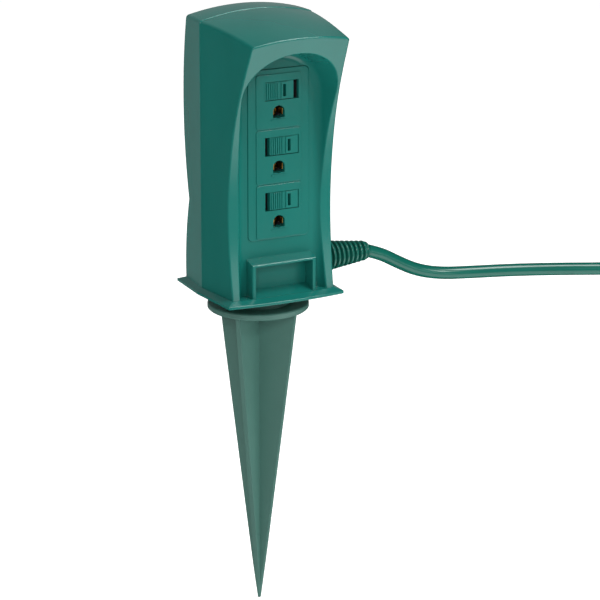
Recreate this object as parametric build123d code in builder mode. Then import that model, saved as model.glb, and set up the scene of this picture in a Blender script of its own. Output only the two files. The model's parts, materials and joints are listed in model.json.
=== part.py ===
from build123d import *
import os
from math import cos, radians, sin, tan

# Outdoor power stake: a hooded three-outlet tower on a twist-on ground spike.
# Millimetres. Z is up, the outlets face -Y, and the cord leaves on the +X side.
# The origin is on the spike's axis at the ground line, the underside of the collar disc.

# --- Housing ---
parting_y = 0.5             # plane between the front and the rear shell
parting_half = 34.8         # half-width of the housing at that plane
side_draft = 0.092          # how much each side closes in per mm away from it
wall = 2.4
crease_round = 2.0          # rounding between the roof and the sides
rim_round = 0.8             # rounding of the hood's and the pocket's front edges
rear_lip = 0.35             # the rear shell stands this far proud of the front one
lip_round = 0.5
floor_bottom = 12.2
floor_top = 14.8
roof_crown = 4.6            # rise of the roof at mid-width over its sides
hood_front = -60.0          # beyond the hood, for cutting shapes
rear_limit = 34.0
plan_front = -56.0
plan_rear = 30.0

# --- Flange skirt round the foot ---
skirt_edge = 1.6
skirt_top = 15.8
skirt_bow = 2.6

# --- Recess with the outlets ---
recess_y = -25.2
recess_half = 25.3
recess_spring = 128.0       # height where the arch of the recess begins
recess_top = 152.5
mouth_half = 35.1           # the same outline at hood_front, where the recess is wider
mouth_spring = 130.0
mouth_top = 157.6
recess_round = 5.0          # blend between the recess's floor and its walls

# --- Outlet panel ---
panel_half = 19.0
panel_bottom = 46.6
panel_top = 143.5
panel_corner = 3.0
panel_face = -25.8
panel_lip = 2.5             # lip behind the recess floor
panel_back = -20.8
tile_face = -26.3
tile_half = 14.0
outlet_pitch = 31.3
ground_hole_z = (119.2, 119.2 - outlet_pitch, 119.2 - 2 * outlet_pitch)
blade_rise = 11.9           # blade slots above the ground hole
blade_x = 6.35
tile_below = 9.1            # tile's lower edge under the ground hole
tile_height = 30.6

# --- Sliding shutters ---
window_left, window_right = -8.6, 12.4
window_height = 10.6
shutter_width = 17.6
shutter_height = 10.0
shutter_travel = 2.8
open_centre = 3.3           # middle of the plate when it stands to the right, open
shutter_face = -25.9
shutter_lip_front = -23.7
shutter_back = -22.6
channel_front = -24.0
lip_over = 1.5

# --- Contacts ---
carrier_half = 17.0
carrier_bottom, carrier_top = 50.0, 143.0
carrier_front, carrier_back = -20.5, -8.0
cover_back = -5.6
bar_thickness = 0.8
leaf_thickness = 0.5
ground_leaf_front = -25.4   # the pin's leaves reach into the hole in the panel
blade_gap, pin_gap = 1.1, 2.45     # half-openings between a pair of spring leaves

# --- Stake ---
disc_radius = 29.0
disc_height = 3.6
neck_radius = 19.0
spigot_radius = 12.0
lug_radius = 15.6
fin_top_radius = 24.6
fin_tip_radius = 1.5
tip_round = 0.9             # a cone trims the fins to this radius at the tip
fin_thickness = 2.6
spike_length = 178.0
fin_turn = 34.3             # the fins stand turned by this angle from the housing's axes
running_gap = 0.35

# --- Cord ---
cord_diameter = 7.5
cord_z = 24.3               # axis of the strain relief
relief_root, relief_end = 10.3, 5.6
relief_start, relief_tip = 35.4, 71.0
coil_centre = (287.0, -10.0)
coil_inner_turn, coil_outer_turn = 38.5, 46.0
coil_layers = 3
plug_axis_z = 12.0
plug_y = coil_centre[1] - coil_outer_turn - 2.0

# Route of the free cord from the strain relief to the coil, and from the coil to the plug.
lead_route = [
    (71.0, 0.5, 23.9), (80.0, 0.5, 21.0), (91.0, 0.2, 14.6), (104.0, -0.6, 8.0), (119.0, -2.4, 4.5),
    (137.0, -6.0, 3.75), (160.0, -13.0, 3.75), (185.0, -23.5, 3.75), (210.0, -36.0, 3.75),
    (232.0, -46.0, 3.75), (252.0, -52.4, 3.75),
]
tail_route = [
    (289.0, plug_y + 2.0, 18.7), (301.0, plug_y + 1.4, 18.2), (314.0, plug_y + 0.3, 14.0),
    (325.0, plug_y, 12.0),
]

os.makedirs("parts", exist_ok=True)


def write(builder, name):
    """Label one finished piece and write it as its own file."""
    builder.part.label = name
    export_step(builder.part, f"parts/{name}.step")


def half_width(y):
    """Half-width of the housing at a distance from the parting plane."""
    return parting_half - side_draft * abs(y - parting_y)


def housing_block(inset=0.0, base=floor_bottom):
    """The outer shape of both shells together, moved inwards by inset, from base up."""
    with BuildPart() as block:
        with BuildSketch(Plane.XY.offset(base)):
            with BuildLine():
                Polyline(
                    (-half_width(plan_front) + inset, plan_front), (-parting_half + inset, parting_y),
                    (-half_width(plan_rear) + inset, plan_rear), (half_width(plan_rear) - inset, plan_rear),
                    (parting_half - inset, parting_y), (half_width(plan_front) - inset, plan_front), close=True,
                )
            make_face()
        extrude(amount=180)
        with BuildSketch(Plane.YZ):
            with BuildLine():
                front = Spline(
                    (-32.5 + inset, 11.0), (-28.2 + inset, 42.0), (-27.2 + inset, 62.0), (-30.2 + inset, 96.0),
                    (-38.6 + inset, 129.0), (-52.8 + inset, 161.5), (-57.5 + inset, 172.0),
                )
                lower = ThreePointArc((25.4 - inset, 11.0), (25.0 - inset, 38.0), (19.5 - inset, 63.0))
                upper = ThreePointArc(lower @ 1, (27.1 - inset, 118.0), (19.2 - inset, 175.0))
                Polyline(upper @ 1, (-20.0, 185.0), front @ 1)
                Line(front @ 0, lower @ 0)
            make_face()
        extrude(amount=60, both=True, mode=Mode.INTERSECT)
        with BuildLine() as ridge:
            Spline(
                (0, rear_limit, 165.4 - inset), (0, 4.0, 168.0 - inset),
                (0, -25.0, 165.9 - inset), (0, hood_front, 160.0 - inset),
            )
        path = ridge.wire()
        with BuildSketch(Plane(origin=path @ 0, x_dir=(1, 0, 0), z_dir=path % 0)):
            with BuildLine():
                drop = roof_crown * ((45.0 / parting_half) ** 2 - 1)
                arch = ThreePointArc((-45, -drop), (0, roof_crown), (45, -drop))
                Polyline(arch @ 1, (45, 30), (-45, 30), arch @ 0)
            make_face()
        sweep(path=path, mode=Mode.SUBTRACT)
    return block.part


def foot_outline(front_half, front_y, mid_half, rear_half, rear_y, bow):
    """Plan outline of the housing's foot, with a front edge that bows forward."""
    with BuildSketch() as outline:
        with BuildLine():
            front = ThreePointArc((-front_half, front_y), (0, front_y - bow), (front_half, front_y))
            Polyline(
                front @ 1, (mid_half, parting_y), (rear_half, rear_y), (-rear_half, rear_y),
                (-mid_half, parting_y), front @ 0,
            )
        make_face()
    return outline.sketch


def skirt_plate():
    """The thin skirt that slopes down and outwards round the foot, with the housing's floor in it."""
    edge = (36.4, -36.0, 38.2, 36.2, 31.0, skirt_bow)
    root = (32.0, -32.3, 35.0, 32.6, 26.0, 1.0)
    edge_top = floor_bottom + skirt_edge
    with BuildPart() as skirt:
        with BuildSketch(Plane.XY.offset(floor_bottom)):
            add(foot_outline(*edge))
        extrude(amount=skirt_edge)
        with BuildSketch(Plane.XY.offset(edge_top)):
            add(foot_outline(*edge))
        with BuildSketch(Plane.XY.offset(skirt_top)):
            add(foot_outline(*root))
        loft()
        outer_corners = skirt.edges().filter_by(Axis.Z).sort_by(Axis.Y)
        fillet(outer_corners[:2], radius=1.5)
        upper_rim = skirt.edges().filter_by_position(Axis.Z, edge_top - 0.01, edge_top + 0.01)
        fillet(upper_rim.filter_by(lambda edge: edge.length > 10 and edge.center().Y < 10), radius=0.5)
        lower_rim = skirt.edges().filter_by_position(Axis.Z, floor_bottom - 0.01, floor_bottom + 0.01)
        fillet(lower_rim, radius=0.5)
        with Locations((0, -2.8, floor_top)):
            Box(60.0, 54.0, 4.0, align=(Align.CENTER, Align.CENTER, Align.MIN), mode=Mode.SUBTRACT)
    return skirt.part


def door_outline(half, spring, top, bottom):
    """Door shape with an elliptical arch, drawn on a plane that faces -Y."""
    with BuildSketch() as outline:
        with BuildLine():
            left = Line((-half, bottom), (-half, spring))
            EllipticalCenterArc((0, spring), half, top - spring, start_angle=0, arc_size=180)
            right = Line((half, spring), (half, bottom))
            Line(right @ 1, left @ 0)
        make_face()
    return outline.sketch


def recess_cutter():
    """The recess in front of the outlets: it widens from its floor to the mouth of the hood."""
    with BuildPart() as recess:
        with BuildSketch(Plane.XZ.offset(-recess_y)):
            add(door_outline(recess_half, recess_spring, recess_top, skirt_top))
        with BuildSketch(Plane.XZ.offset(-hood_front)):
            add(door_outline(mouth_half, mouth_spring, mouth_top, skirt_top - 1.0))
        loft()
        floor_edges = recess.faces().sort_by(Axis.Y)[-1].edges().sort_by(Axis.Z)
        fillet(floor_edges[1:], radius=recess_round)
    return recess.part


def slab(near, far):
    """A block that covers everything from one Y to another."""
    return Pos(0, (near + far) / 2, 90) * Box(120, far - near, 260)


def spigot_hole():
    """The round hole with two lug slots that the stake's bayonet goes through."""
    with BuildPart() as hole:
        with Locations((0, 0, floor_bottom - 1)):
            Cylinder(spigot_radius + running_gap, 6, align=(Align.CENTER, Align.CENTER, Align.MIN))
        with Locations(Location((0, 0, floor_bottom - 1), (0, 0, 45))):
            Box(
                2 * (lug_radius + running_gap), 8.6, 6, align=(Align.CENTER, Align.CENTER, Align.MIN)
            )
    return hole.part


def rounded_creases(half):
    """Half of the housing with the edges between its roof and its sides rounded."""
    with BuildPart() as block:
        add(half)
        creases = block.edges().filter_by(
            lambda edge: edge.center().Z > 150 and abs(edge.center().X) > 25 and edge.length > 10
        )
        fillet(creases, radius=crease_round)
        if half.bounding_box().max.Y > parting_y + 1:
            lip = block.edges().filter_by(
                lambda edge: abs(edge.center().Y - parting_y) < 0.01 and edge.center().Z > 60
            )
            fillet(lip, radius=lip_round)
    return block.part


inner = housing_block(inset=wall, base=floor_top)
cavity_front = recess_y + wall
outer_front = rounded_creases((housing_block() + skirt_plate()) & slab(-80.0, parting_y))
outer_rear = rounded_creases((housing_block(inset=-rear_lip) + skirt_plate()) & slab(parting_y, 80.0))
inner_front, inner_rear = inner & slab(cavity_front, parting_y + 1), inner & slab(parting_y - 1, 80.0)
screw_places = [(-26.3, 44.0), (26.3, 44.0), (-25.8, 146.0), (25.8, 146.0)]
relief_hole = Pos(parting_half, parting_y, cord_z) * Rot(0, 90, 0) * Cylinder(6.8, 12)

# --- Front shell: hood, frame, recess floor, pocket below the outlets, cord cradle ---
tray_half, tray_front, tray_top = 20.0, -32.8, 34.9
tray_wall, tray_roof = 2.1, 1.3
pocket_floor = -23.6
cradle_x, cradle_width = 22.5, 8.0

with BuildPart() as front_shell:
    add(outer_front)
    add(inner_front, mode=Mode.SUBTRACT)
    add(recess_cutter(), mode=Mode.SUBTRACT)
    # soft rims: the hood's front edge, the front corners and the mouth of the recess
    rims = front_shell.edges().filter_by(
        lambda edge: (edge.length > 100 and edge.center().Y < -25)
        or (edge.center().Z > 140 and edge.center().Y < -36 and abs(edge.center().X) < 27)
    )
    fillet(rims, radius=rim_round)
    # pocket frame below the outlets, with a roof that sheds water forward
    with BuildSketch(Plane.YZ):
        Polygon(
            (recess_y + 0.5, skirt_top - 2), (tray_front, skirt_top - 2), (tray_front, tray_top),
            (recess_y + 0.5, tray_top + 2.0), align=None,
        )
    extrude(amount=tray_half, both=True)
    with Locations((0, pocket_floor + wall / 2, 25.0)):
        Box(2 * tray_half, wall, 22.0)
    with BuildSketch(Plane.YZ):
        Polygon(
            (pocket_floor, 18.4), (tray_front - 1, 15.4), (tray_front - 1, tray_top - tray_roof),
            (pocket_floor, tray_top - tray_roof), align=None,
        )
    extrude(amount=tray_half - tray_wall, both=True, mode=Mode.SUBTRACT)
    tray_edges = front_shell.edges().filter_by(
        lambda edge: abs(edge.center().Y - tray_front) < 0.2
        and (abs(abs(edge.center().X) - tray_half) < 0.1 or abs(edge.center().Z - tray_top) < 0.1)
    )
    fillet(tray_edges, radius=rim_round)
    # opening for the outlet panel
    with BuildSketch(Plane.XZ.offset(-recess_y + 5)):
        with Locations((0, (panel_bottom + panel_top) / 2)):
            RectangleRounded(2 * panel_half + 0.2, panel_top - panel_bottom + 0.2, panel_corner)
    extrude(amount=-12, mode=Mode.SUBTRACT)
    # bosses for the four housing screws
    with BuildSketch(Plane.XZ.offset(-cavity_front + 0.4)):
        with Locations(*screw_places):
            Circle(3.4)
    extrude(amount=-(parting_y - cavity_front - 0.2))
    # cradle that carries the end of the cord
    with Locations((cradle_x, (cavity_front - 0.4 + parting_y - 0.4) / 2, (floor_top + 33.6) / 2 - 0.2)):
        Box(cradle_width, parting_y - cavity_front, 33.6 - floor_top + 0.4)
    with Locations(Location((cradle_x, parting_y, cord_z), (0, 90, 0))):
        Cylinder(cord_diameter / 2, cradle_width + 2, mode=Mode.SUBTRACT)
    with BuildSketch(Plane.XZ.offset(-parting_y)):
        with Locations((cradle_x, cord_z - 6.7), (cradle_x, cord_z + 6.7)):
            Circle(1.4)
        with Locations(*screw_places):
            Circle(1.4)
    extrude(amount=12.0, mode=Mode.SUBTRACT)
    add(relief_hole, mode=Mode.SUBTRACT)
    add(spigot_hole(), mode=Mode.SUBTRACT)
write(front_shell, "front_shell")

# --- Rear shell: plain wavy cover with four screw wells ---
screw_head_y = 7.0
with BuildPart() as rear_shell:
    add(outer_rear)
    add(inner_rear, mode=Mode.SUBTRACT)
    with BuildSketch(Plane.XZ.offset(-parting_y - 0.3)):
        with Locations(*screw_places):
            Circle(4.6)
    extrude(amount=-24.0)
    add(outer_rear, mode=Mode.INTERSECT)
    with BuildSketch(Plane.XZ.offset(-screw_head_y)):
        with Locations(*screw_places):
            Circle(3.4)
    extrude(amount=-30, mode=Mode.SUBTRACT)
    with BuildSketch(Plane.XZ):
        with Locations(*screw_places):
            Circle(1.9)
    extrude(amount=-12, mode=Mode.SUBTRACT)
    add(relief_hole, mode=Mode.SUBTRACT)
    add(spigot_hole(), mode=Mode.SUBTRACT)
write(rear_shell, "rear_shell")


def pan_screws(places, head_y, head_radius, head_height, shank_radius, shank_length):
    """Cross-recessed screws along -Y: each place is X and Z of its axis, head_y its seat."""
    with BuildPart() as screws:
        with BuildSketch(Plane.XZ.offset(-head_y)):
            with Locations(*places):
                Circle(head_radius)
        extrude(amount=-head_height)
        fillet(screws.faces().filter_by(Axis.Y).group_by(Axis.Y)[-1].edges(), radius=head_height * 0.4)
        with BuildSketch(Plane.XZ.offset(-head_y)):
            with Locations(*places):
                Circle(shank_radius)
        extrude(amount=shank_length)
        with BuildSketch(Plane.XZ.offset(-head_y - head_height)):
            with Locations(*places):
                Rectangle(0.7, head_radius * 1.2)
                Rectangle(head_radius * 1.2, 0.7)
        extrude(amount=head_height * 0.6, mode=Mode.SUBTRACT)
    return screws


write(pan_screws(screw_places, screw_head_y, 3.0, 2.0, 1.35, 17.0), "housing_screws")

# --- Outlet panel: one moulding with three raised outlet faces ---
panel_mid = (panel_bottom + panel_top) / 2
panel_height = panel_top - panel_bottom
window_centre = (window_left + window_right) / 2
window_rows = [(window_centre, z + blade_rise) for z in ground_hole_z]

with BuildPart() as outlet_panel:
    with BuildSketch(Plane.XZ.offset(-cavity_front)):
        with Locations((0, panel_mid)):
            RectangleRounded(2 * panel_half, panel_height, panel_corner)
    extrude(amount=cavity_front - panel_face)
    fillet(outlet_panel.faces().sort_by(Axis.Y)[0].edges(), radius=0.5)
    with BuildSketch(Plane.XZ.offset(-panel_back)):
        with Locations((0, panel_mid)):
            RectangleRounded(2 * (panel_half + panel_lip), panel_height + 2 * panel_lip, panel_corner)
    extrude(amount=panel_back - cavity_front)
    with BuildSketch(Plane.XZ.offset(-panel_face - 0.5)):
        with Locations(*[(0, z - tile_below + tile_height / 2) for z in ground_hole_z]):
            RectangleRounded(2 * tile_half, tile_height, 1.4)
    extrude(amount=panel_face - tile_face + 0.5)
    tile_rims = outlet_panel.edges().filter_by_position(Axis.Y, tile_face - 0.01, tile_face + 0.01)
    fillet(tile_rims, radius=0.3)
    # a small sill under each ground hole
    with BuildSketch(Plane.XZ.offset(-tile_face)):
        with Locations(*[(0, z - 4.6) for z in ground_hole_z]):
            RectangleRounded(9.6, 0.9, 0.4)
    extrude(amount=0.4)
    with BuildSketch(Plane.XZ.offset(-tile_face + 1)):
        with Locations(*window_rows):
            Rectangle(window_right - window_left, window_height)
        for z in ground_hole_z:
            with Locations((0, z)):
                Circle(3.6)
            with Locations((0, z - 1.6)):
                Rectangle(7.2, 3.2)
    extrude(amount=-8, mode=Mode.SUBTRACT)
    # channels behind the windows for the shutters' lips
    with BuildSketch(Plane.XZ.offset(-channel_front)):
        with Locations(*window_rows):
            Rectangle(window_right - window_left + 2 * lip_over, window_height + 2 * lip_over)
    extrude(amount=-5, mode=Mode.SUBTRACT)
write(outlet_panel, "outlet_panel")


def shutter(centre, row_z):
    """A sliding shutter: ribbed thumb grip on the left, slotted boss, and a lower flat."""
    z = row_z + blade_rise
    grip_left, grip_right = centre - 8.8, centre
    boss_x = centre + blade_x - open_centre
    face = Plane.XZ.offset(-shutter_face)
    with BuildPart() as slide:
        with BuildSketch(Plane.XZ.offset(-shutter_back)):
            with Locations((centre, z)):
                Rectangle(shutter_width, shutter_height)
        extrude(amount=shutter_back - shutter_face)
        with BuildSketch(Plane.XZ.offset(-shutter_back)):
            with Locations((centre, z)):
                Rectangle(shutter_width, shutter_height + 2 * lip_over - 0.4)
        extrude(amount=shutter_back - shutter_lip_front)
        with BuildSketch(face):
            with Locations((boss_x, z)):
                Rectangle(4.0, shutter_height - 0.6)
            rib_pitch = (grip_right - grip_left - 0.8) / 6
            with Locations(*[(grip_left + 0.8 + rib_pitch * (i + 0.25), z) for i in range(6)]):
                Rectangle(rib_pitch * 0.5, shutter_height - 0.8)
        extrude(amount=0.6)
        with BuildSketch(Plane.XZ.offset(-shutter_face + 2)):
            with Locations((boss_x, z)):
                Rectangle(1.8, 6.8)
        extrude(amount=8, both=True, mode=Mode.SUBTRACT)
    return slide


shutter_rows = {
    "shutter_top": (open_centre - shutter_travel, ground_hole_z[0]),
    "shutter_middle": (open_centre, ground_hole_z[1]),
    "shutter_bottom": (open_centre, ground_hole_z[2]),
}
for name, (centre, row_z) in shutter_rows.items():
    write(shutter(centre, row_z), name)

# --- Contact carrier: an insulating block with a channel for each bar, and its cover ---
bar_places = {"hot_bus_bar": blade_x, "neutral_bus_bar": -blade_x, "ground_bus_bar": 0.0}
cover_screw_places = [(-14.4, 55.0), (14.4, 55.0), (-14.4, 138.0), (14.4, 138.0)]
carrier_height = carrier_top - carrier_bottom
carrier_mid = (carrier_top + carrier_bottom) / 2

with BuildPart() as contact_carrier:
    with BuildSketch(Plane.XZ.offset(-carrier_back)):
        with Locations((0, carrier_mid)):
            RectangleRounded(2 * carrier_half, carrier_height, 3.0)
    extrude(amount=carrier_back - carrier_front)
    with BuildSketch(Plane.XZ.offset(-carrier_back)):
        for bar, x in bar_places.items():
            with Locations((x, carrier_mid)):
                Rectangle(6.3 if bar == "ground_bus_bar" else 5.0, carrier_height - 5)
    extrude(amount=carrier_back - carrier_front - 1.8, mode=Mode.SUBTRACT)
    with BuildSketch(Plane.XZ.offset(-carrier_back)):
        with Locations(*[(x, carrier_bottom) for x in bar_places.values()]):
            Rectangle(4.0, 12)
    extrude(amount=6, mode=Mode.SUBTRACT)
    with BuildSketch(Plane.XZ.offset(-carrier_front + 1)):
        for z in ground_hole_z:
            with Locations((blade_x, z + blade_rise), (-blade_x, z + blade_rise)):
                Rectangle(2.2, 8.6)
            with Locations((0, z)):
                Circle(3.5)
        with Locations(*cover_screw_places):
            Circle(1.0)
    extrude(amount=-16, mode=Mode.SUBTRACT)
write(contact_carrier, "contact_carrier")

with BuildPart() as carrier_cover:
    with BuildSketch(Plane.XZ.offset(-cover_back)):
        with Locations((0, carrier_mid)):
            RectangleRounded(2 * carrier_half, carrier_height, 3.0)
        with Locations(*cover_screw_places):
            Circle(1.3, mode=Mode.SUBTRACT)
        with Locations((0, carrier_bottom)):
            Rectangle(22, 14, mode=Mode.SUBTRACT)
    extrude(amount=cover_back - carrier_back - 0.05)
write(carrier_cover, "carrier_cover")
write(pan_screws(cover_screw_places, cover_back, 2.2, 1.5, 0.95, 11.0), "carrier_screws")


def bus_bar(x, contact_rise, gap, leaf_front, leaf_height):
    """A brass strip with three pairs of spring leaves that grip a blade or a pin."""
    strip_y = carrier_back - 1.4
    leaf_depth = strip_y - bar_thickness - leaf_front
    with BuildPart() as bar:
        with Locations((x, strip_y - bar_thickness / 2, carrier_mid)):
            Box(2 * (max(gap, 1.7) + leaf_thickness), bar_thickness, carrier_height - 7)
        for z in ground_hole_z:
            for side in (-1, 1):
                leaf_x = x + side * (gap + leaf_thickness / 2)
                leaf_y = strip_y - bar_thickness / 2 - leaf_depth / 2
                with Locations((leaf_x, leaf_y, z + contact_rise)):
                    Box(leaf_thickness, leaf_depth + bar_thickness / 2, leaf_height)
    return bar


for name, x in bar_places.items():
    if name == "ground_bus_bar":
        write(bus_bar(x, 0.0, pin_gap, ground_leaf_front, 3.4), name)
    else:
        write(bus_bar(x, blade_rise, blade_gap, carrier_front + 2.2, 7.0), name)


def wire_run(points, diameter, bend):
    """A round wire along straight runs joined by tangent arcs."""
    with BuildPart() as run:
        with BuildLine() as line:
            FilletPolyline(*points, radius=bend)
        path = line.wire()
        with BuildSketch(Plane(origin=path @ 0, z_dir=path % 0)):
            Circle(diameter / 2)
        sweep(path=path)
    return run


wire_y = carrier_back - 1.4 + 1.3
wires = {
    "hot_wire": [(16.0, 1.9, 25.5), (10.5, 1.9, 27.0), (6.8, 0.5, 36.0), (blade_x, wire_y, 45.0),
                 (blade_x, wire_y, 53.5)],
    "neutral_wire": [(16.0, 1.9, 22.6), (4.0, 2.6, 22.6), (-6.0, 2.0, 31.0), (-blade_x, wire_y, 45.0),
                     (-blade_x, wire_y, 53.5)],
    "ground_wire": [(16.0, -1.2, 24.0), (8.0, -2.2, 24.0), (0.6, -4.0, 33.0), (0.0, wire_y, 44.0),
                    (0.0, wire_y, 53.5)],
}
for name, points in wires.items():
    write(wire_run(points, 2.4, 3.0), name)

# --- Cord entry: jacket end in its cradle, clamp with two screws, ribbed strain relief ---
with BuildPart() as cord_lead_in:
    with BuildSketch(Plane.YZ.offset(16.4)):
        with Locations((parting_y, cord_z)):
            Circle(cord_diameter / 2 - 0.05)
    extrude(amount=29.1 - 16.4)
write(cord_lead_in, "cord_lead_in")

clamp_back = 7.4
with BuildPart() as cord_clamp:
    with Locations((cradle_x, (clamp_back + parting_y) / 2, cord_z)):
        Box(cradle_width, clamp_back - parting_y, 18.6)
    clamp_edges = cord_clamp.edges().filter_by(Axis.X).group_by(Axis.Y)[-1]
    chamfer(clamp_edges, length=2.0)
    with Locations(Location((cradle_x, parting_y, cord_z), (0, 90, 0))):
        Cylinder(cord_diameter / 2, cradle_width + 2, mode=Mode.SUBTRACT)
    with BuildSketch(Plane.XZ.offset(-parting_y + 1)):
        with Locations((cradle_x, cord_z - 6.7), (cradle_x, cord_z + 6.7)):
            Circle(1.6)
    extrude(amount=-12, mode=Mode.SUBTRACT)
write(cord_clamp, "cord_clamp")
clamp_screw_places = [(cradle_x, cord_z - 6.7), (cradle_x, cord_z + 6.7)]
write(pan_screws(clamp_screw_places, clamp_back, 2.6, 1.8, 1.3, 14.0), "clamp_screws")

ring_count = 10
ring_pitch = (relief_tip - 3.0 - relief_start) / ring_count
with BuildPart() as strain_relief:
    with BuildSketch(Plane.XZ.offset(-parting_y)):
        with BuildLine():
            root = relief_start
            Polyline((29.2, cord_z), (29.2, cord_z + 9.0), (31.4, cord_z + 9.0), (31.4, cord_z + 6.7),
                     (root, cord_z + 6.7), (root, cord_z + relief_root - 1.8))
            Polyline((root, cord_z + relief_root - 1.8), (relief_tip - 2.0, cord_z + relief_end - 1.2),
                     (relief_tip, cord_z + relief_end - 2.2), (relief_tip, cord_z), (29.2, cord_z))
        make_face()
        for i in range(ring_count):
            x = root + ring_pitch * i
            top = relief_root + (relief_end - relief_root) * (i + 0.5) / ring_count
            with Locations((x + ring_pitch * 0.31, cord_z + top / 2)):
                Rectangle(ring_pitch * 0.62, top)
    revolve(axis=Axis((0, parting_y, cord_z), (1, 0, 0)))
write(strain_relief, "strain_relief")

# --- Stake: collar disc, neck, bayonet spigot and four tapered fins ---
with BuildPart() as stake:
    with BuildSketch(Plane.XZ):
        Polygon(
            (0, 0), (disc_radius - 0.8, 0), (disc_radius, 0.8), (disc_radius, disc_height - 0.6),
            (disc_radius - 0.6, disc_height), (neck_radius, disc_height),
            (neck_radius, floor_bottom - running_gap), (spigot_radius, floor_bottom - running_gap),
            (spigot_radius, 21.0), (0, 21.0), align=None,
        )
    revolve(axis=Axis.Z)
    with Locations((0, 0, floor_top + running_gap)):
        Box(2 * lug_radius, 7.4, 3.0, align=(Align.CENTER, Align.CENTER, Align.MIN))
    with Locations((0, 0, 8.0)):
        Cylinder(spigot_radius - 2.6, 14, align=(Align.CENTER, Align.CENTER, Align.MIN), mode=Mode.SUBTRACT)
    for i in range(2):
        with BuildSketch(Plane.XZ.rotated((0, 0, fin_turn + 90 * i))):
            Polygon(
                (-fin_top_radius, 0.5), (fin_top_radius, 0.5), (fin_tip_radius, -spike_length),
                (-fin_tip_radius, -spike_length), align=None,
            )
        extrude(amount=fin_thickness / 2, both=True)
    # everything below the disc is trimmed to a cone, which points the tip and rounds the fins' edges
    with BuildSketch(Plane.XZ):
        Polygon(
            (0, -spike_length), (tip_round, -spike_length), (fin_top_radius + 0.1, 0), (disc_radius, 0),
            (disc_radius, 21.0), (0, 21.0), align=None,
        )
    revolve(axis=Axis.Z, mode=Mode.INTERSECT)
write(stake, "stake")

# --- Free cord: a lead from the strain relief to the coil, and a tail from the coil to the plug ---


def corner_radii(points):
    """The largest tangent arc that each corner's two runs allow."""
    radii = []
    for before, here, after in zip(points, points[1:], points[2:]):
        arriving, leaving = Vector(*here) - Vector(*before), Vector(*after) - Vector(*here)
        shorter = min(arriving.length, leaving.length)
        radii.append(0.45 * shorter / tan(radians(arriving.get_angle(leaving) / 2)))
    return radii


with BuildPart() as cord:
    for route in (lead_route, tail_route):
        radii = corner_radii(route)
        print("cord arc radii:", [round(radius, 1) for radius in radii])
        with BuildLine() as route_line:
            FilletPolyline(*route, radius=radii)
        route_wire = route_line.wire()
        with BuildSketch(Plane(origin=route_wire @ 0, z_dir=route_wire % 0)):
            Circle(cord_diameter / 2)
        sweep(path=route_wire)
        print("route length", round(route_wire.length, 1))
write(cord, "cord")

coil_half = cord_diameter / 2
with BuildPart() as cord_coil:
    with Locations((*coil_centre, 0)):
        Cylinder(
            coil_outer_turn + coil_half, coil_layers * cord_diameter,
            align=(Align.CENTER, Align.CENTER, Align.MIN),
        )
        Cylinder(
            coil_inner_turn - coil_half, coil_layers * cord_diameter,
            align=(Align.CENTER, Align.CENTER, Align.MIN), mode=Mode.SUBTRACT,
        )
    fillet(cord_coil.edges().filter_by(GeomType.CIRCLE), radius=2.5)
write(cord_coil, "cord_coil")

tie_angle = -35.0
tie_wall = 0.8
coil_mean = (coil_inner_turn + coil_outer_turn) / 2
coil_width = coil_outer_turn - coil_inner_turn + cord_diameter
coil_height = coil_layers * cord_diameter
tie_place = Location(
    (coil_centre[0] + coil_mean * cos(radians(tie_angle)),
     coil_centre[1] + coil_mean * sin(radians(tie_angle)), 0),
    (0, 0, tie_angle),
)
with BuildPart() as cord_tie:
    with Locations(tie_place):
        standing = (Align.CENTER, Align.CENTER, Align.MIN)
        Box(coil_width + 0.6 + 2 * tie_wall, 5.0, coil_height + 0.1 + tie_wall, align=standing)
        Box(coil_width + 0.6, 6.0, coil_height + 0.1, align=standing, mode=Mode.SUBTRACT)
write(cord_tie, "cord_tie")

# --- Plug, lying on its flat side in front of the coil, its blades along +X ---
plug_start = tail_route[-1][0]
relief_length, plug_length = 20.0, 36.0
plug_width, plug_thickness = 27.0, 24.0
plug_shoulder = plug_start + relief_length
plug_front = plug_shoulder + plug_length
face_depth = 12.0
relief_stations = [(plug_start, 9.4, 9.4, 4.6), (plug_shoulder, 15.0, 15.0, 7.4)]
grip_stations = [
    (plug_shoulder - 0.5, 18.0, 18.0, 7.0), (plug_shoulder + 12.0, 20.0, 21.0, 6.0),
    (plug_front - face_depth, plug_width - 1.0, plug_thickness - 0.6, 6.0),
]

with BuildPart() as plug_body:
    for stations in (relief_stations, grip_stations):
        for x, width, height, corner in stations:
            with BuildSketch(Plane.YZ.offset(x)):
                with Locations((plug_y, plug_axis_z)):
                    RectangleRounded(width, height, corner)
        loft()
    with BuildSketch(Plane.YZ.offset(plug_front - face_depth)):
        with Locations((plug_y, plug_axis_z)):
            RectangleRounded(plug_width, plug_thickness, 6.0)
    extrude(amount=face_depth)
write(plug_body, "plug_body")

blade_centre_z = plug_axis_z + 4.5
with BuildPart() as plug_blades:
    with Locations(*[(plug_front + 8.2, plug_y + side * blade_x, blade_centre_z) for side in (-1, 1)]):
        Box(16.4, 1.5, 6.4)
write(plug_blades, "plug_blades")

with BuildPart() as plug_ground_pin:
    with BuildSketch(Plane.YZ.offset(plug_front)):
        with Locations((plug_y, blade_centre_z - blade_rise)):
            Circle(2.4)
    extrude(amount=19.0)
    fillet(plug_ground_pin.edges().filter_by(GeomType.CIRCLE).group_by(Axis.X)[-1], radius=1.4)
write(plug_ground_pin, "plug_ground_pin")
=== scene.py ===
import json
from math import cos, pi, radians, sin

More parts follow.
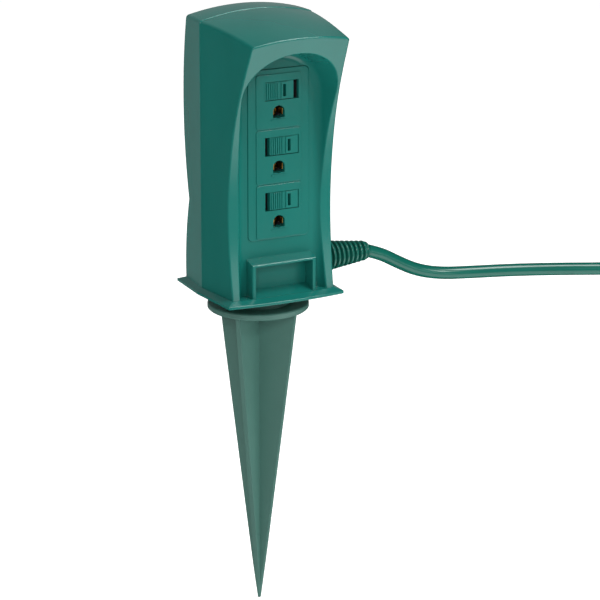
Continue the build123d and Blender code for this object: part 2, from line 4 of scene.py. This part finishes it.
import bpy
import bmesh
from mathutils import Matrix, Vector


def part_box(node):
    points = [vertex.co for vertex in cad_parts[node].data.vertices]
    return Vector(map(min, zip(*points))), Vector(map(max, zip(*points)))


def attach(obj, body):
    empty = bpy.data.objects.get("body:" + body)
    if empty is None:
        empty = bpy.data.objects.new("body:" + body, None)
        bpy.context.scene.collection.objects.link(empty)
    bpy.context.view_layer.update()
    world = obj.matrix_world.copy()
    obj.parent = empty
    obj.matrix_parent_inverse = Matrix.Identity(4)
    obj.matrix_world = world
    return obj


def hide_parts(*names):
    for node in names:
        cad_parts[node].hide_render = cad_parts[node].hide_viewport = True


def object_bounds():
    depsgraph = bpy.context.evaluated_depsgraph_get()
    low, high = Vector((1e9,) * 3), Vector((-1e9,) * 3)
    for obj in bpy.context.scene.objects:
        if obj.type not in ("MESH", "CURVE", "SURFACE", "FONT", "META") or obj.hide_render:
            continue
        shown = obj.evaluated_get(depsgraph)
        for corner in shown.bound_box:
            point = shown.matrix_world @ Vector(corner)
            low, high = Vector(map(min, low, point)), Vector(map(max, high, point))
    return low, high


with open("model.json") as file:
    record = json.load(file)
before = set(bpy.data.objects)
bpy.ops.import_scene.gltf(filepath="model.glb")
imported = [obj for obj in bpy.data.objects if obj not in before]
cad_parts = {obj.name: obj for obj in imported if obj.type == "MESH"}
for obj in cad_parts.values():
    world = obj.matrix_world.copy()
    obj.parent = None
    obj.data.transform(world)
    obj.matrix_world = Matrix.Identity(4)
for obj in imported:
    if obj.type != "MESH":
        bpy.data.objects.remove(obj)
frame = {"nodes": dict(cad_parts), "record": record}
cad_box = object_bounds()
scene = bpy.context.scene

MM = 0.001


# --- Small helpers ---

def smoothstep(t):
    """0 below 0, 1 above 1, and a smooth rise between them."""
    t = min(max(t, 0.0), 1.0)
    return t * t * (3 - 2 * t)


def new_object(name, data, body=None):
    """Link a new object, and let it ride on a body where one is given."""
    thing = bpy.data.objects.new(name, data)
    scene.collection.objects.link(thing)
    if body:
        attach(thing, body)
    return thing


# --- Camera ---

CAMERA_TURN = radians(-27.7)        # azimuth: on the outlets' left
CAMERA_RISE = radians(16.57)
CAMERA_PLACE = Vector((-0.72882, -1.43961, 0.48395))
CAMERA_LENS = 177.0


def add_camera():
    """The camera, level, at the photograph's viewing angle and distance."""
    data = bpy.data.cameras.new("camera")
    data.sensor_width = 36.0
    data.lens = CAMERA_LENS
    data.clip_start, data.clip_end = 0.05, 50.0
    camera = bpy.data.objects.new("camera", data)
    scene.collection.objects.link(camera)
    back = Vector((
        sin(CAMERA_TURN) * cos(CAMERA_RISE), -cos(CAMERA_TURN) * cos(CAMERA_RISE), sin(CAMERA_RISE),
    ))
    camera.location = CAMERA_PLACE
    camera.rotation_mode = "QUATERNION"
    camera.rotation_quaternion = (-back).to_track_quat("-Z", "Y")
    scene.camera = camera


add_camera()


# --- The free cord: the lead, the coil's turns and the tail to the plug, as one spline ---

CORD_DIAMETER = 7.5 * MM
COIL_CENTRE = (287.0, -10.0)
INNER_TURN, OUTER_TURN = 38.5, 46.0
LAYER_Z = (3.75, 11.25, 18.75)
PLUG_Y = COIL_CENTRE[1] - OUTER_TURN - 2.0
COIL_START, COIL_END = -108.0, -94.0    # angles on the coil, in degrees
COIL_TURNS = 6
TURN_OVER = 0.75                        # share of a turn before it moves over to its next place
POINTS_PER_TURN = 18

LEAD_ROUTE = [
    (71.0, 0.5, 23.9), (80.0, 0.5, 21.0), (91.0, 0.2, 14.6), (104.0, -0.6, 8.0), (119.0, -2.4, 4.5),
    (137.0, -6.0, 3.75), (160.0, -13.0, 3.75), (185.0, -23.5, 3.75), (210.0, -36.0, 3.75),
    (232.0, -46.0, 3.75), (252.0, -52.4, 3.75),
]
TAIL_ROUTE = [
    (289.0, PLUG_Y + 2.0, 18.7), (301.0, PLUG_Y + 1.4, 18.2), (314.0, PLUG_Y + 0.3, 14.0),
    (325.0, PLUG_Y, 12.0),
]


def coil_route():
    """Six wound turns: outer and inner columns in three layers, ending on top at the outside."""
    columns = [
        (OUTER_TURN, LAYER_Z[0]), (INNER_TURN, LAYER_Z[0]), (INNER_TURN, LAYER_Z[1]),
        (OUTER_TURN, LAYER_Z[1]), (INNER_TURN, LAYER_Z[2]), (OUTER_TURN, LAYER_Z[2]),
        (OUTER_TURN, LAYER_Z[2]),
    ]
    sweep = COIL_END - COIL_START + 360.0 * COIL_TURNS
    count = int(POINTS_PER_TURN * sweep / 360)
    points = []
    for i in range(count + 1):
        turned = sweep * i / count
        turn = int(turned // 360)
        move = (turned / 360 - turn - TURN_OVER) / (1 - TURN_OVER)
        share = smoothstep(move) if turn < COIL_TURNS else 0.0
        here, after = columns[turn], columns[min(turn + 1, COIL_TURNS)]
        radius, z = (a + (b - a) * share for a, b in zip(here, after))
        angle = radians(COIL_START + turned)
        points.append((COIL_CENTRE[0] + radius * cos(angle), COIL_CENTRE[1] + radius * sin(angle), z))
    return points


def nurbs_curve(name, points, radius):
    """A round tube along one open spline whose control points are given in millimetres."""
    data = bpy.data.curves.new(name, "CURVE")
    data.dimensions = "3D"
    spline = data.splines.new("NURBS")
    spline.points.add(len(points) - 1)
    for target, point in zip(spline.points, points):
        target.co = (*(value * MM for value in point), 1.0)
        target.radius = radius
    spline.order_u = 3
    spline.use_endpoint_u = True
    spline.resolution_u = 8
    data.bevel_depth = 1.0              # times each point's own radius
    data.bevel_resolution = 8
    data.use_fill_caps = True
    return data


cord_data = nurbs_curve("mains_cord", LEAD_ROUTE + coil_route() + TAIL_ROUTE, CORD_DIAMETER / 2)
mains_cord = new_object("mains_cord", cord_data, "housing")
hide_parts("cord", "cord_coil")


# --- Materials ---

class Shader:
    """A new material with one Principled shader, and short calls that wire nodes to it."""

    def __init__(self, name, **settings):
        self.material = bpy.data.materials.new(name)
        self.material.use_nodes = True
        self.nodes = self.material.node_tree.nodes
        self.links = self.material.node_tree.links
        self.shader = self.nodes["Principled BSDF"]
        for socket, value in settings.items():
            self.shader.inputs[socket.replace("_", " ")].default_value = value
        self.place = self.nodes.new("ShaderNodeTexCoord").outputs["Object"]

    def noise(self, scale, detail=3.0, rough=0.5, stretch=None):
        """Noise of so many cells per metre, stretched along an axis where a triple is given."""
        node = self.nodes.new("ShaderNodeTexNoise")
        node.inputs["Scale"].default_value = scale
        node.inputs["Detail"].default_value = detail
        node.inputs["Roughness"].default_value = rough
        place = self.place
        if stretch:
            mapping = self.nodes.new("ShaderNodeMapping")
            mapping.inputs["Scale"].default_value = stretch
            self.links.new(place, mapping.inputs["Vector"])
            place = mapping.outputs["Vector"]
        self.links.new(place, node.inputs["Vector"])
        return node.outputs["Fac"]

    def ramp(self, fac, stops):
        """A colour ramp over a value: stops are (position, colour)."""
        node = self.nodes.new("ShaderNodeValToRGB")
        elements = node.color_ramp.elements
        while len(elements) < len(stops):
            elements.new(0.5)
        for element, (position, colour) in zip(elements, stops):
            element.position = position
            element.color = (*colour, 1.0)
        self.links.new(fac, node.inputs["Fac"])
        return node.outputs["Color"]

    def spread(self, fac, low, high):
        """A value from 0 to 1 taken to another range."""
        node = self.nodes.new("ShaderNodeMapRange")
        node.inputs["To Min"].default_value = low
        node.inputs["To Max"].default_value = high
        self.links.new(fac, node.inputs["Value"])
        return node.outputs["Result"]

    def bump(self, height, distance):
        """A bump whose height from 0 to 1 stands for that distance in metres."""
        node = self.nodes.new("ShaderNodeBump")
        node.inputs["Strength"].default_value = 1.0
        node.inputs["Distance"].default_value = distance
        self.links.new(height, node.inputs["Height"])
        return node.outputs["Normal"]

    def drive(self, socket, value):
        """Wire a node's output to a socket of the shader."""
        self.links.new(value, self.shader.inputs[socket])


def linear(red, green, blue):
    """Linear colour of an sRGB triple from 0 to 255."""
    return tuple(((value / 255 + 0.055) / 1.055) ** 2.4 for value in (red, green, blue))


def shade(colour, factor):
    """A colour made lighter or darker."""
    return tuple(min(value * factor, 1.0) for value in colour)


PLASTIC_IOR = 1.49
FLOW_VARIATION = 0.07       # how much lighter and darker the flow marks are


def moulded_plastic(name, colour, rough=(0.17, 0.25), waviness=0.12 * MM):
    """Injection-moulded plastic: slow flow marks in the colour, uneven gloss, a faintly wavy skin."""
    shader = Shader(name, IOR=PLASTIC_IOR)
    flow = shader.noise(26.0, 4.0, 0.55, stretch=(1.0, 1.0, 0.35))
    shader.drive("Base Color", shader.ramp(flow, [
        (0.25, shade(colour, 1 - FLOW_VARIATION)), (0.5, colour), (0.75, shade(colour, 1 + FLOW_VARIATION)),
    ]))
    shader.drive("Roughness", shader.spread(shader.noise(40.0, 2.0, 0.5), *rough))
    shader.drive("Normal", shader.bump(shader.noise(60.0, 1.0, 0.4), waviness))
    return shader.material


GREEN = linear(17, 95, 87)
STAKE_GREEN = linear(62, 102, 93)
materials = {
    "housing_green": moulded_plastic("housing_green", GREEN),
    "stake_green": moulded_plastic("stake_green", STAKE_GREEN, rough=(0.42, 0.55), waviness=0.2 * MM),
    "shutter_green": moulded_plastic("shutter_green", shade(GREEN, 1.08)),
    "relief_green": moulded_plastic("relief_green", linear(18, 80, 69)),
    "cord_green": moulded_plastic("cord_green", linear(8, 82, 70), rough=(0.2, 0.27), waviness=0.08 * MM),
    "plug_green": moulded_plastic("plug_green", linear(14, 86, 76)),
    "tie_black": moulded_plastic("tie_black", linear(30, 30, 32)),
    "insulator_black": moulded_plastic("insulator_black", linear(36, 36, 38)),
    "wire_black": moulded_plastic("wire_black", linear(26, 26, 28)),
    "wire_white": moulded_plastic("wire_white", linear(226, 226, 220)),
    "wire_green": moulded_plastic("wire_green", linear(30, 130, 60)),
}


def stamped_brass():
    """Rolled brass with fine draw lines and a little tarnish."""
    shader = Shader("brass", Metallic=1.0)
    tarnish = shader.noise(300.0, 4.0, 0.6)
    shader.drive("Base Color", shader.ramp(tarnish, [
        (0.3, linear(150, 104, 48)), (0.55, linear(214, 170, 92)), (0.8, linear(232, 196, 120)),
    ]))
    shader.drive("Roughness", shader.spread(shader.noise(900.0, 3.0, 0.6), 0.2, 0.42))
    shader.drive("Normal", shader.bump(shader.noise(2200.0, 2.0, 0.5, stretch=(1.0, 1.0, 0.08)), 0.02 * MM))
    return shader.material


def zinc_steel():
    """Zinc-plated screw steel with a fine turned grain."""
    shader = Shader("screw_steel", Metallic=1.0)
    shader.drive("Base Color", shader.ramp(shader.noise(500.0, 3.0, 0.6), [
        (0.3, linear(150, 150, 148)), (0.7, linear(200, 200, 204)),
    ]))
    shader.drive("Roughness", shader.spread(shader.noise(1200.0, 3.0, 0.6), 0.22, 0.4))
    return shader.material


materials["brass"] = stamped_brass()
materials["screw_steel"] = zinc_steel()


def paint(thing, slot):
    """Give a piece the one material of a slot."""
    thing.data.materials.clear()
    thing.data.materials.append(materials[slot])


# --- Strain relief: soft rings on a tapering sleeve, turned about the cord's axis ---

RELIEF_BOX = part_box("strain_relief")
RELIEF_AXIS = Vector((0.0, 0.5 * MM, 24.3 * MM))
RELIEF_START, RELIEF_TIP = 35.2 * MM, 71.0 * MM
RELIEF_ROOT_RADIUS, RELIEF_END_RADIUS = 10.0 * MM, 5.7 * MM
RELIEF_RINGS = 11
GROOVE_SHARE = 0.62                     # radius at the bottom of a groove, of the radius on the rings
RING_FLAT, RING_SLOPE = 0.4, 0.4        # shares of half a pitch: the ring's top, and its side
GROOVE_DIP = 0.35 * MM                  # a further dip towards the groove
STEPS_PER_RING = 16
HEAD_RADIUS, HEAD_END = 8.8 * MM, 31.2 * MM     # the head that holds it inside the housing
NECK_RADIUS = 6.5 * MM                  # where it goes through the housing's wall
TIP_ROUND = 1.6 * MM
TIP_MOUTH = 3.9 * MM                    # radius on the flat of the tip, round the cord


def relief_profile():
    """Distance along the axis and radius: head, neck, the rings and grooves, and a rounded tip."""
    profile = [
        (RELIEF_BOX[0].x, 0.0), (RELIEF_BOX[0].x, HEAD_RADIUS), (HEAD_END, HEAD_RADIUS),
        (HEAD_END + 0.2 * MM, NECK_RADIUS), (RELIEF_START - 0.1 * MM, NECK_RADIUS),
    ]
    pitch = (RELIEF_TIP - TIP_ROUND - RELIEF_START) / RELIEF_RINGS
    count = RELIEF_RINGS * STEPS_PER_RING
    for i in range(count):
        crown = RELIEF_ROOT_RADIUS + (RELIEF_END_RADIUS - RELIEF_ROOT_RADIUS) * i / count
        # 0 in the middle of a ring, 1 at the bottom of a groove
        phase = abs(2 * (i % STEPS_PER_RING) / STEPS_PER_RING - 1)
        ring = 1.0 - smoothstep((phase - RING_FLAT) / RING_SLOPE)
        radius = crown * (GROOVE_SHARE + (1 - GROOVE_SHARE) * ring) - GROOVE_DIP * phase ** 2
        profile.append((RELIEF_START + pitch * i / STEPS_PER_RING, radius))
    for i in range(7):
        turn = radians(90.0 * i / 6)
        profile.append((
            RELIEF_TIP - TIP_ROUND + TIP_ROUND * sin(turn),
            TIP_MOUTH + (RELIEF_END_RADIUS - 0.5 * MM - TIP_MOUTH) * cos(turn),
        ))
    profile.append((RELIEF_TIP, 0.0))
    return profile


def lathe(name, profile, sides):
    """Turn a profile of (x, radius) about the axis of the relief into a closed mesh."""
    mesh = bmesh.new()
    rows = []
    for x, radius in profile:
        turns = [2 * pi * k / sides for k in range(sides)] if radius else [0.0]
        rows.append([
            mesh.verts.new((x, RELIEF_AXIS.y + radius * cos(turn), RELIEF_AXIS.z + radius * sin(turn)))
            for turn in turns
        ])
    for row, after in zip(rows, rows[1:]):
        for k in range(sides):
            beside = (k + 1) % sides
            if len(row) == 1:
                mesh.faces.new((row[0], after[beside], after[k]))
            elif len(after) == 1:
                mesh.faces.new((row[k], row[beside], after[0]))
            else:
                mesh.faces.new((row[k], row[beside], after[beside], after[k]))
    bmesh.ops.recalc_face_normals(mesh, faces=mesh.faces)
    for face in mesh.faces:
        face.smooth = True
    data = bpy.data.meshes.new(name)
    mesh.to_mesh(data)
    mesh.free()
    return data


relief_mesh = lathe("ribbed_relief", relief_profile(), 72)
ribbed_relief = new_object("ribbed_relief", relief_mesh, "housing")
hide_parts("strain_relief")


# --- The middle spring finger of each ground contact, deep in its hole ---

TOP_HOLE_Z, OUTLET_PITCH = 119.2, 31.3
FINGER_X, FINGER_HALF = 0.7, 1.15       # its middle, and its half-width below the rounded top
FINGER_FOOT, FINGER_HEIGHT = -2.9, 5.2  # its foot from the hole's middle, and how tall it stands
FINGER_Y, FINGER_BULGE = -18.9, 1.6
FINGER_THICKNESS = 0.35
FINGER_TOP = 0.7                        # share of its height where the top begins to narrow


def finger_mesh(hole_z):
    """A narrow brass tongue that bulges forward between its foot and its rounded top."""
    mesh = bmesh.new()
    rows = []
    for j in range(17):
        v = j / 16
        half = FINGER_HALF * (1 - 0.6 * smoothstep((v - FINGER_TOP) / (1 - FINGER_TOP)))
        bulge = FINGER_BULGE * sin(pi * v)
        rows.append([
            mesh.verts.new((
                (FINGER_X + half * u / 4) * MM,
                (FINGER_Y - bulge * (1 - 0.3 * (u / 4) ** 2)) * MM,
                (hole_z + FINGER_FOOT + FINGER_HEIGHT * v) * MM,
            )) for u in range(-4, 5)
        ])
    for row, after in zip(rows, rows[1:]):
        for k in range(8):
            face = mesh.faces.new((row[k], row[k + 1], after[k + 1], after[k]))
            face.smooth = True
    bmesh.ops.solidify(mesh, geom=mesh.faces[:], thickness=FINGER_THICKNESS * MM)
    data = bpy.data.meshes.new("ground_finger")
    mesh.to_mesh(data)
    mesh.free()
    return data


for i, place in enumerate(("top", "middle", "bottom")):
    finger_data = finger_mesh(TOP_HOLE_Z - OUTLET_PITCH * i)
    paint(new_object(f"ground_finger_{place}", finger_data, "housing"), "brass")


# --- The materials on each piece, and soft edges on those whose CAD edges are sharp ---

paint(mains_cord, "cord_green")
paint(ribbed_relief, "relief_green")
slot_of = {entry["node"]: entry["material_slot"] for entry in frame["record"]["subparts"]}
for name, node in frame["nodes"].items():
    paint(node, slot_of[name])

EDGE_WIDTH = {      # in millimetres
    "shutter_top": 0.12, "shutter_middle": 0.12, "shutter_bottom": 0.12, "stake": 0.4,
    "plug_blades": 0.2, "cord_tie": 0.2,
}


def soften(node, width):
    """Round the moulded edges of a CAD node, in modifiers: its own mesh isn't changed."""
    weld = node.modifiers.new("weld", "WELD")
    weld.merge_threshold = 0.01 * MM
    flat = node.modifiers.new("flat", "DECIMATE")
    flat.decimate_type = "DISSOLVE"
    flat.angle_limit = radians(0.6)
    bevel = node.modifiers.new("bevel", "BEVEL")
    bevel.width = width * MM
    bevel.segments = 3
    bevel.limit_method = "ANGLE"
    bevel.angle_limit = radians(28)
    normals = node.modifiers.new("normals", "WEIGHTED_NORMAL")
    normals.keep_sharp = True


for name, width in EDGE_WIDTH.items():
    soften(frame["nodes"][name], width)


# --- Floor, backdrop and light ---

FLOOR_Z = cad_box[0].z - 0.5 * MM
FLOOR_REACH = 6.0


def pale_material():
    """A nearly white studio paper with a very faint unevenness."""
    shader = Shader("studio_paper", Roughness=0.9, Emission_Color=(1, 1, 1, 1), Emission_Strength=0.5)
    shader.drive("Base Color", shader.ramp(shader.noise(3.0, 2.0), [
        (0.3, (0.90, 0.90, 0.90)), (0.7, (0.94, 0.94, 0.94)),
    ]))
    return shader.material


def add_floor():
    """A wide pale floor just under the spike's tip."""
    data = bpy.data.meshes.new("floor")
    mesh = bmesh.new()
    bmesh.ops.create_grid(mesh, x_segments=4, y_segments=4, size=FLOOR_REACH)
    mesh.to_mesh(data)
    mesh.free()
    floor = new_object("floor", data)
    floor.location.z = FLOOR_Z
    floor.visible_glossy = False
    data.materials.append(pale_material())


add_floor()


def add_light(name, place, target, size, power):
    """A softbox at a place, turned to a target."""
    data = bpy.data.lights.new(name, "AREA")
    data.shape = "RECTANGLE"
    data.size, data.size_y = size
    data.energy = power
    light = bpy.data.objects.new(name, data)
    scene.collection.objects.link(light)
    light.location = place
    light.rotation_mode = "QUATERNION"
    light.rotation_quaternion = (Vector(target) - Vector(place)).to_track_quat("-Z", "Y")
    return light


add_light("key", (-0.9, -1.5, 0.8), (0.0, 0.0, 0.05), (0.4, 0.4), 11.7)
add_light("top", (0.36, -0.42, 1.2), (0.0, 0.0, 0.1), (0.5, 0.6), 12.0)
add_light("fill", (0.74, -1.22, 0.88), (0.0, 0.0, 0.08), (0.2, 0.2), 6.0)
add_light("front", (0.68, -1.34, 0.06), (0.0, 0.0, 0.05), (0.7, 0.26), 1.4)
add_light("backdrop", (0.075, 1.3, 0.33), (0.0, 0.0, 0.15), (1.75, 1.9), 3.0).visible_camera = False
add_light("table", (0.16, -0.2, FLOOR_Z + 0.02), (0.1, -0.1, 0.1), (0.3, 0.25), 0.42).visible_camera = False

world = bpy.data.worlds.new("studio")
scene.world = world
world.use_nodes = True
background = world.node_tree.nodes["Background"]
background.inputs["Color"].default_value = (1.0, 1.0, 1.0, 1.0)
background.inputs["Strength"].default_value = 0.48
world.cycles_visibility.glossy = False
scene.view_settings.view_transform = "Standard"
